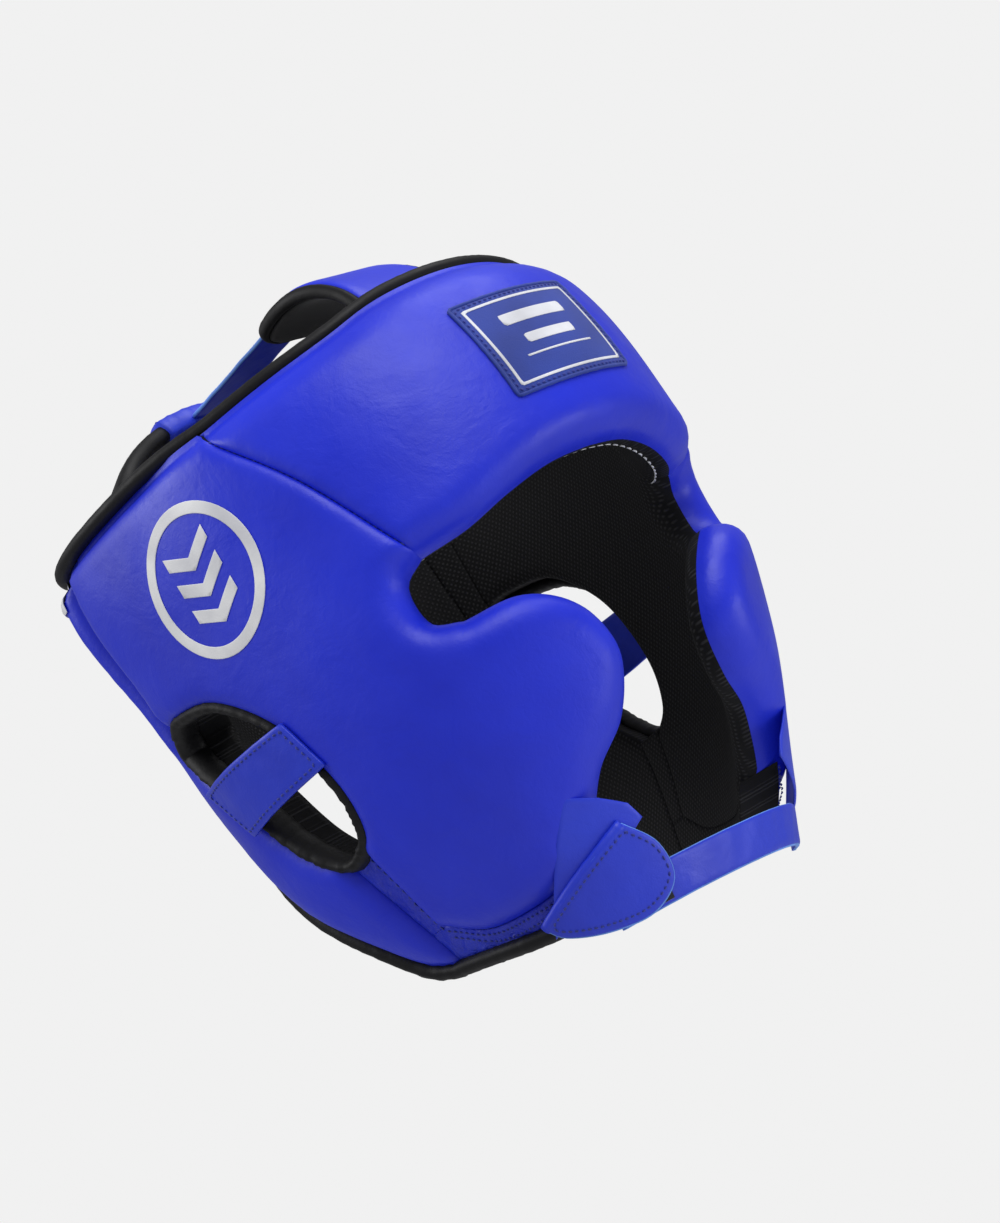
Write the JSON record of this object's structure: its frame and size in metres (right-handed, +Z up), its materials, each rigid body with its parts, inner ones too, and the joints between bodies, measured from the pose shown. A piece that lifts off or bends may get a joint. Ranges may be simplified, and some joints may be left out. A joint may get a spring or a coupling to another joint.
{
  "type": "boxing headgear",
  "caption": "Padded leather boxing headgear with cheek pads, slanted ear openings, crown strap, chin straps and a hook-and-loop rear closure.",
  "frame": {"origin": "middle of the neck opening, level with the lowest edge of the chin strap, where the head enters", "axes": "+Z up through the crown, the face looks along -Y, the wearer's right is -X"},
  "size_m": [0.2292, 0.2573, 0.3079],
  "materials": {
    "leather_blue": "smooth glossy blue hide with fine grain",
    "leather_strap": "blue hide, stitched edges, pale cut edge",
    "foam_core": "closed-cell foam sheets, hidden",
    "lining_black": "black lining with fine raised dots",
    "binding_black": "black binding tape, soft sheen",
    "mesh_black": "black spacer mesh with hexagonal holes",
    "hook_loop": "black hook and loop",
    "label_navy": "navy woven label with a pale border",
    "emblem_white": "off-white transfer film"
  },
  "bodies": {
    "shell": {"chin_collar_left": "leather_strap", "chin_collar_right": "leather_strap", "chin_strap": "leather_strap", "crown_anchor": "binding_black", "crown_arch": "binding_black", "crown_hook_patch": "hook_loop", "crown_pad_cover": "leather_blue", "crown_pad_foam": "foam_core", "crown_pad_mesh": "mesh_black", "crown_pad_piping": "binding_black", "crown_sleeve": "leather_strap", "crown_strap": "leather_strap", "ear_binding_left": "binding_black", "ear_binding_right": "binding_black", "ear_strap_left": "leather_strap", "ear_strap_right": "leather_strap", "forehead_cover": "leather_blue", "forehead_foam": "foam_core", "forehead_label": "label_navy", "forehead_lining": "lining_black", "lower_binding_left": "binding_black", "lower_binding_right": "binding_black", "rim_binding": "binding_black", "side_cover_left": "leather_blue", "side_cover_right": "leather_blue", "side_emblem_left": "emblem_white", "side_emblem_right": "emblem_white", "side_foam_left": "foam_core", "side_foam_right": "foam_core", "side_lining_left": "lining_black", "side_lining_right": "lining_black", "size_tag": "emblem_white", "wing_cover_left": "leather_blue", "wing_cover_right": "leather_blue", "wing_edge_binding_left": "binding_black", "wing_edge_binding_right": "binding_black", "wing_foam_left": "foam_core", "wing_foam_right": "foam_core", "wing_hook_patch": "hook_loop", "wing_lining_left": "lining_black", "wing_lining_right": "lining_black", "wing_tab": "binding_black"},
    "rear_closure": {"closure_binding": "binding_black", "closure_cover": "leather_blue", "closure_foam": "foam_core", "closure_lining": "lining_black", "closure_loop_patch": "hook_loop", "rear_label": "label_navy"},
    "chin_flap": {"chin_flap": "leather_strap", "chin_hook_patch": "hook_loop"},
    "chin_tail": {"chin_strap_tail": "leather_strap", "chin_loop_patch": "hook_loop"},
    "crown_tail": {"crown_tail": "leather_strap"}
  },
  "joints": [
    {"name": "rear_closure_hinge", "type": "hinge", "parent": "shell", "child": "rear_closure", "pos_m": [-0.0585, 0.1168, 0.202], "axis": [0, 0.096, 0.9954], "range_deg": [0, 110]},
    {"name": "chin_flap_hinge", "type": "hinge", "parent": "shell", "child": "chin_flap", "pos_m": [-0.06868, -0.0582, 0.0275], "axis": [-0.4608, 0.8152, -0.3509], "range_deg": [0, 100]},
    {"name": "chin_tail_fold", "type": "hinge", "parent": "shell", "child": "chin_tail", "pos_m": [-0.0002, -0.07055, 0.0105], "axis": [0, 0.3862, -0.9224], "range_deg": [0, 45]},
    {"name": "crown_tail_hinge", "type": "hinge", "parent": "shell", "child": "crown_tail", "pos_m": [0, 0.09928, 0.30016], "axis": [1, 0, 0], "range_deg": [0, 110]}
  ]
}
